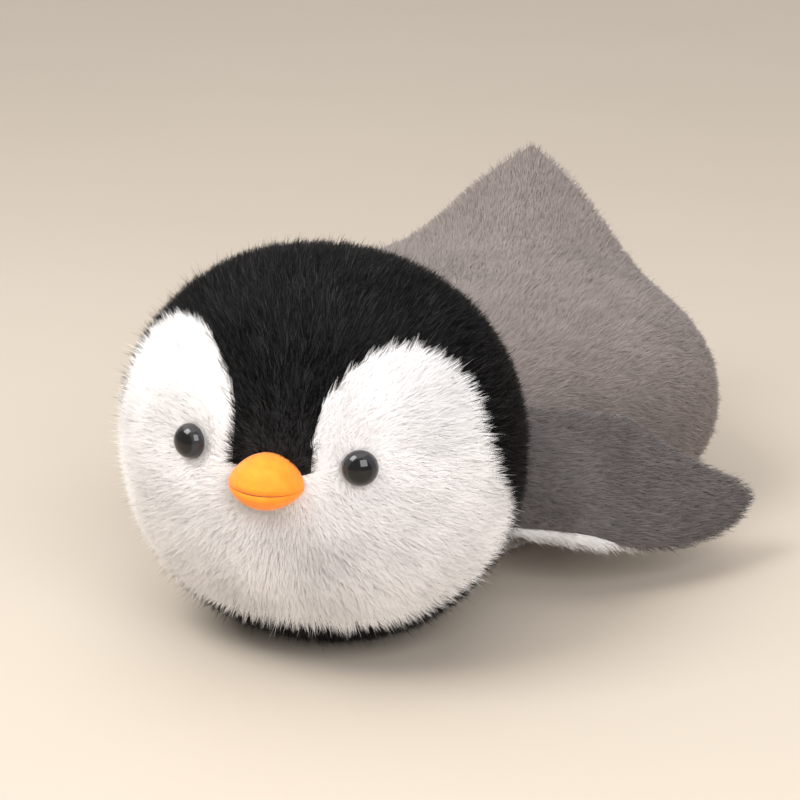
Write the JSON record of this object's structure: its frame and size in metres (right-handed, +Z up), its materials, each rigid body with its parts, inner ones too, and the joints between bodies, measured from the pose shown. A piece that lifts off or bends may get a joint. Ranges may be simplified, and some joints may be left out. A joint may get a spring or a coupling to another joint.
{
  "type": "plush penguin toy",
  "caption": "Stuffed plush penguin lying on its belly, with a round furry head, stitched fabric beak, domed eyes, an upturned tail corner and flippers that flap at their shoulder seams.",
  "frame": {"origin": "on the surface it lies on, under the middle of the bounding box's base", "axes": "+Z up, the beak points along -Y, the penguin's own left is +X"},
  "size_m": [0.2548, 0.3162, 0.137],
  "materials": {
    "white_plush": "long white plush pile",
    "black_plush": "long black plush pile",
    "grey_plush": "short grey plush pile",
    "orange_cloth": "smooth short-nap orange cloth",
    "fibrefill": "polyester fibre filling",
    "eye_plastic": "polished black and dark grey dome",
    "washer_plastic": "moulded washer"
  },
  "bodies": {
    "body": {"back_left": "grey_plush", "back_right": "grey_plush", "belly_panel": "white_plush", "body_stuffing": "fibrefill"},
    "neck": {"neck_wadding": "fibrefill"},
    "head": {"cheek_left": "white_plush", "cheek_right": "white_plush", "crown_panel": "black_plush", "hood_left": "black_plush", "hood_right": "black_plush", "eye_left": "eye_plastic", "eye_right": "eye_plastic", "eye_washer_left": "washer_plastic", "eye_washer_right": "washer_plastic", "beak_upper": "orange_cloth", "beak_lower": "orange_cloth", "beak_wadding": "fibrefill", "head_stuffing": "fibrefill"},
    "left_flipper": {"flipper_left_top": "grey_plush", "flipper_left_underside": "white_plush", "flipper_left_wadding": "fibrefill"},
    "right_flipper": {"flipper_right_top": "grey_plush", "flipper_right_underside": "white_plush", "flipper_right_wadding": "fibrefill"}
  },
  "joints": [
    {"name": "head_turn", "type": "hinge", "parent": "body", "child": "neck", "pos_m": [0, -0.09184, 0.0686], "axis": [0, 0, 1], "range_deg": [-9, 6], "stiffness_Nm_per_rad": 0.08},
    {"name": "head_nod", "type": "hinge", "parent": "neck", "child": "head", "pos_m": [0, -0.09184, 0.0686], "axis": [0.9976, 0.0698, 0], "range_deg": [-7, 7], "stiffness_Nm_per_rad": 0.08},
    {"name": "flipper_left_flap", "type": "hinge", "parent": "body", "child": "left_flipper", "pos_m": [0.0725, -0.01984, 0.046], "axis": [-0.2193, -0.8794, -0.4226], "range_deg": [-6, 70], "stiffness_Nm_per_rad": 0.03},
    {"name": "flipper_right_flap", "type": "hinge", "parent": "body", "child": "right_flipper", "pos_m": [-0.0725, -0.01984, 0.046], "axis": [-0.2193, 0.8794, 0.4226], "range_deg": [-6, 70], "stiffness_Nm_per_rad": 0.03}
  ]
}
